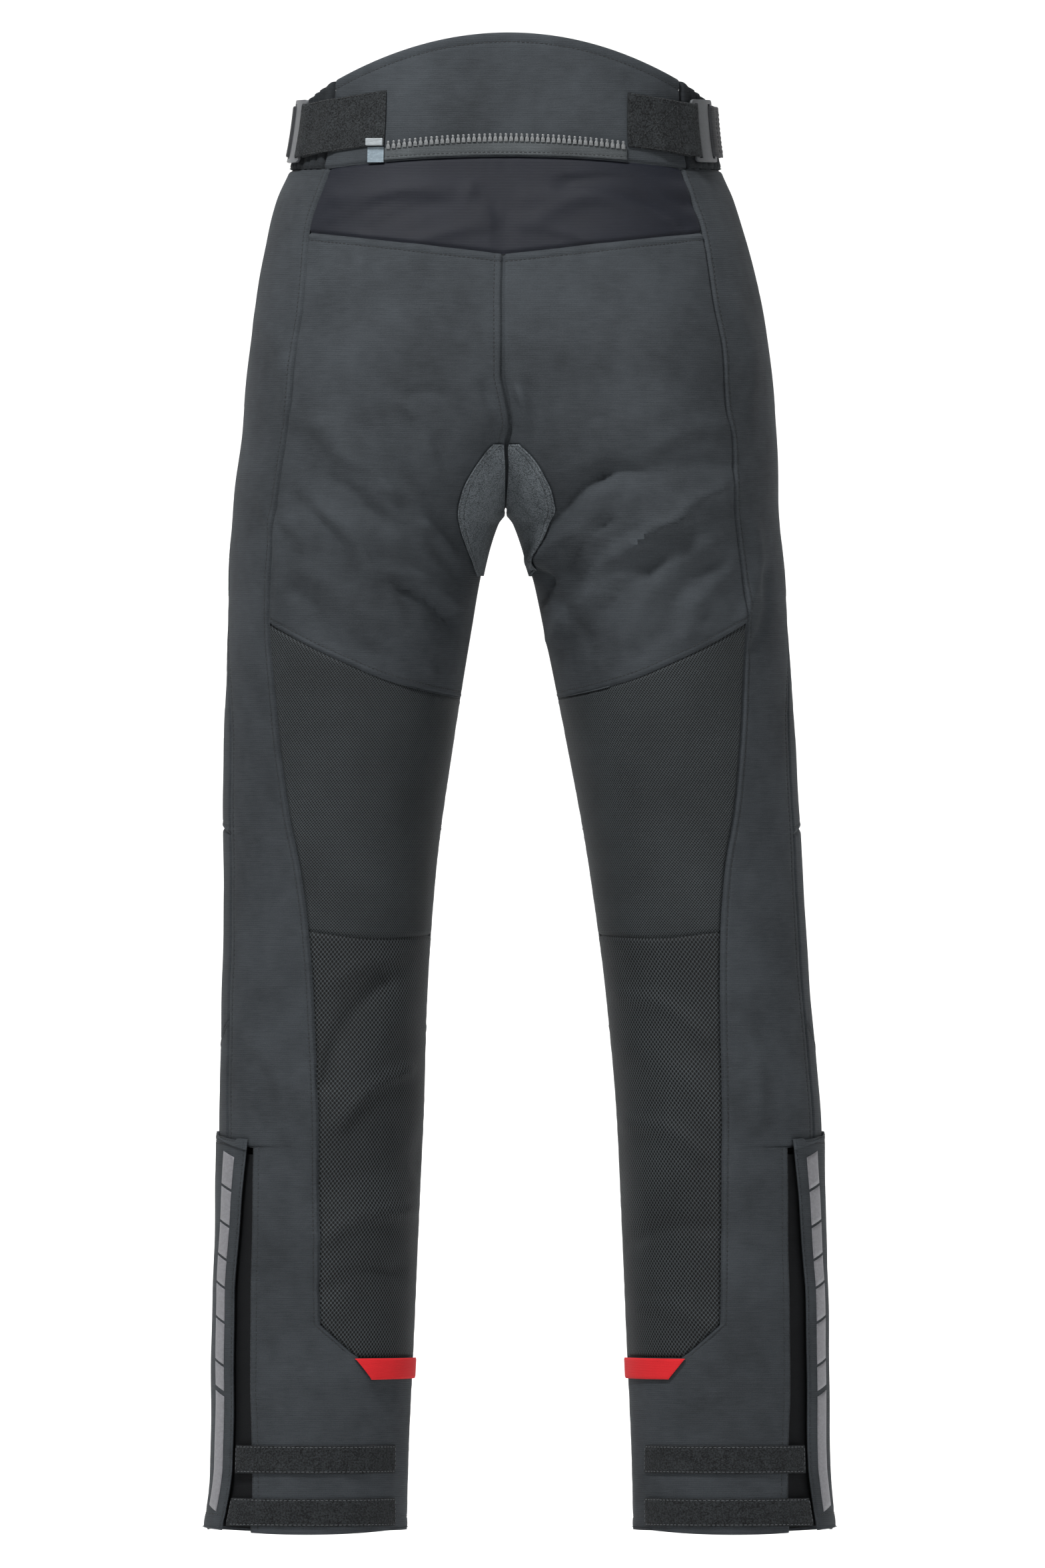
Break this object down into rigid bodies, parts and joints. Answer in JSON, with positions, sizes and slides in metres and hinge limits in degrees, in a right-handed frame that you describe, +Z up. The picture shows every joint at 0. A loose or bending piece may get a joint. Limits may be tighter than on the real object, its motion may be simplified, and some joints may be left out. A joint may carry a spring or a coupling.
{
  "type": "motorcycle trousers",
  "caption": "Textile motorcycle trousers, filled out and hollow, with a tall kidney panel, ribbed waist sides, strap adjusters, mesh leg backs and zip flaps at the hems.",
  "frame": {"origin": "middle of the waist at the height of the waist seam, where the wearer holds the trousers up", "axes": "+Z up, +Y towards the wearer's front, +X towards the wearer's right"},
  "size_m": [0.4556, 0.2452, 1.0777],
  "materials": {
    "twill": "coated charcoal polyester weave",
    "stretch": "smooth blue-black stretch cloth",
    "mesh": "black air mesh",
    "suede": "grey napped microfibre",
    "hook_loop": "black hook-and-loop pile",
    "elastic": "cloth gathered on elastic",
    "webbing": "black webbing",
    "zip_tape": "black woven zip tape",
    "red_cloth": "red cloth",
    "ring_plastic": "dark grey moulded plastic",
    "zip_plastic": "black moulded teeth",
    "tab_plastic": "grey translucent film",
    "snap_metal": "black enamelled snap",
    "reflective": "grey reflective print",
    "thread": "black sewing thread"
  },
  "bodies": {
    "root": {"calf_mesh_left": "mesh", "calf_mesh_right": "mesh", "fly": "twill", "front_thigh_left": "twill", "front_thigh_right": "twill", "hem_strip_lower_left": "hook_loop", "hem_strip_lower_right": "hook_loop", "hem_strip_upper_left": "hook_loop", "hem_strip_upper_right": "hook_loop", "kidney_panel": "twill", "knee_panel_left": "twill", "knee_panel_right": "twill", "red_tab_left": "red_cloth", "red_tab_right": "red_cloth", "ring_loop_left": "webbing", "ring_loop_right": "webbing", "seat_left": "twill", "seat_right": "twill", "shin_panel_left": "twill", "shin_panel_right": "twill", "side_panel_left": "twill", "side_panel_right": "twill", "thigh_mesh_left": "mesh", "thigh_mesh_right": "mesh", "thigh_patch_left": "suede", "thigh_patch_right": "suede", "waist_elastic_left": "elastic", "waist_elastic_right": "elastic", "waist_front_left": "twill", "waist_front_right": "twill", "waist_ring_left": "ring_plastic", "waist_ring_right": "ring_plastic", "waist_snap": "snap_metal", "waist_strap_left": "hook_loop", "waist_strap_right": "hook_loop", "waist_tab": "twill", "yoke": "stretch", "zip_box": "zip_plastic", "zip_flap_left": "twill", "zip_flap_right": "twill", "zip_gusset_left": "stretch", "zip_gusset_right": "stretch", "zip_tab": "tab_plastic", "zip_tape": "zip_tape", "zip_teeth": "zip_plastic"}
  },
  "joints": []
}
